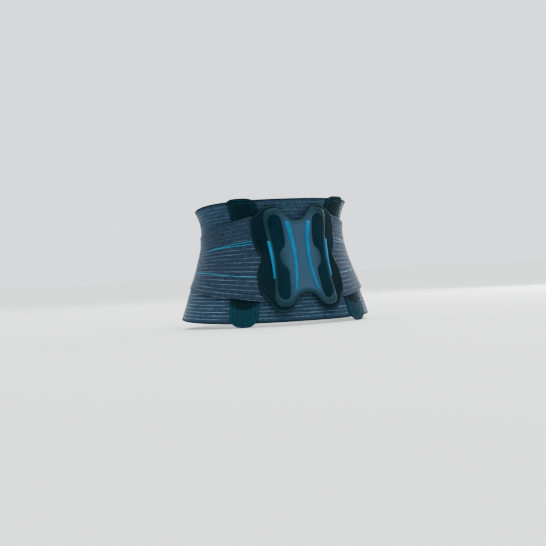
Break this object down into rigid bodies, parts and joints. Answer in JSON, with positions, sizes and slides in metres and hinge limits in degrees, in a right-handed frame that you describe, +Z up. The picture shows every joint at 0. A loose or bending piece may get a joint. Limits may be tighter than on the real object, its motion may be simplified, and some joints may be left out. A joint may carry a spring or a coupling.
{
  "type": "lumbar support belt",
  "caption": "Waist-shaped elastic lumbar support belt with raised lumbar pad, side stay pockets, tension straps that peel off the front, and a hook-and-loop front closure.",
  "frame": {"origin": "centre of the waist that the belt goes round, at the belt's narrowest height, 145 mm above its lower back edge", "axes": "+Z up the wearer's spine; the wearer's back and the lumbar pad face -Y; the front closure faces +Y; +X is the wearer's right"},
  "size_m": [0.346, 0.2509, 0.2177],
  "materials": {
    "belt_knit": "elastic knit, dark slate navy with fine lighter weft lines",
    "edging": "narrow overlocked elastic edging, near-black navy",
    "strap_knit": "elastic tension webbing, heathered navy with fanned weft lines and fine cyan threads",
    "pocket_fabric": "laminated pocket fabric, dark teal, stitched edge",
    "spring_steel": "bright rolled spring steel",
    "tip_plastic": "soft black plastic end tips",
    "backing_foam": "black fabric-faced foam",
    "carrier_moulding": "satin moulded elastomer, very dark teal",
    "pad_foam": "matt moulded pad, grey-blue",
    "trough_rubber": "matt dark teal inserts",
    "rib_silicone": "satin cyan silicone",
    "hook_tape": "moulded hook tape, near-black",
    "loop_velour": "brushed loop velour, dark navy",
    "grip_rubber": "matt ribbed rubber, dark teal"
  },
  "bodies": {
    "back": {"back_panel": "belt_knit", "back_top_edging": "edging", "back_bottom_edging": "edging", "left_rear_strap": "strap_knit", "right_rear_strap": "strap_knit", "left_stay_pocket": "pocket_fabric", "right_stay_pocket": "pocket_fabric", "left_stay": "spring_steel", "right_stay": "spring_steel", "left_upper_stay_tip": "tip_plastic", "left_lower_stay_tip": "tip_plastic", "right_upper_stay_tip": "tip_plastic", "right_lower_stay_tip": "tip_plastic", "pad_backing": "backing_foam", "pad_carrier": "carrier_moulding", "pad_body": "pad_foam", "left_trough": "trough_rubber", "right_trough": "trough_rubber", "left_inner_rib": "rib_silicone", "left_outer_rib": "rib_silicone", "right_inner_rib": "rib_silicone", "right_outer_rib": "rib_silicone"},
    "left_wing": {"left_front_panel": "belt_knit", "left_front_top_edging": "edging", "left_front_bottom_edging": "edging", "left_front_strap": "strap_knit", "left_closure_hook": "hook_tape", "left_closure_grip": "grip_rubber"},
    "right_wing": {"right_front_panel": "belt_knit", "right_front_top_edging": "edging", "right_front_bottom_edging": "edging", "right_front_strap": "strap_knit", "right_closure_landing": "loop_velour"},
    "left_tab": {"left_tab": "strap_knit", "left_tab_hook": "hook_tape", "left_tab_grip": "grip_rubber"},
    "right_tab": {"right_tab": "strap_knit", "right_tab_hook": "hook_tape", "right_tab_grip": "grip_rubber"}
  },
  "joints": [
    {"name": "left_wing_open", "type": "hinge", "parent": "back", "child": "left_wing", "pos_m": [-0.1562, 0.01362, -0.04231], "axis": [0.1696, -0.011, 0.9855], "range_deg": [0, 100]},
    {"name": "right_wing_open", "type": "hinge", "parent": "back", "child": "right_wing", "pos_m": [0.1562, 0.01362, -0.04231], "axis": [0.1696, 0.011, -0.9855], "range_deg": [0, 50]},
    {"name": "left_tab_peel", "type": "hinge", "parent": "left_wing", "child": "left_tab", "pos_m": [-0.12076, 0.05503, -0.03802], "axis": [0.2408, -0.0442, 0.9696], "range_deg": [0, 75]},
    {"name": "right_tab_peel", "type": "hinge", "parent": "right_wing", "child": "right_tab", "pos_m": [0.12076, 0.05503, -0.03802], "axis": [0.2408, 0.0442, -0.9696], "range_deg": [0, 75]}
  ],
  "couplings": [
    {"joint": "right_wing_open", "follows": "left_wing_open", "ratio": 0.5}
  ]
}
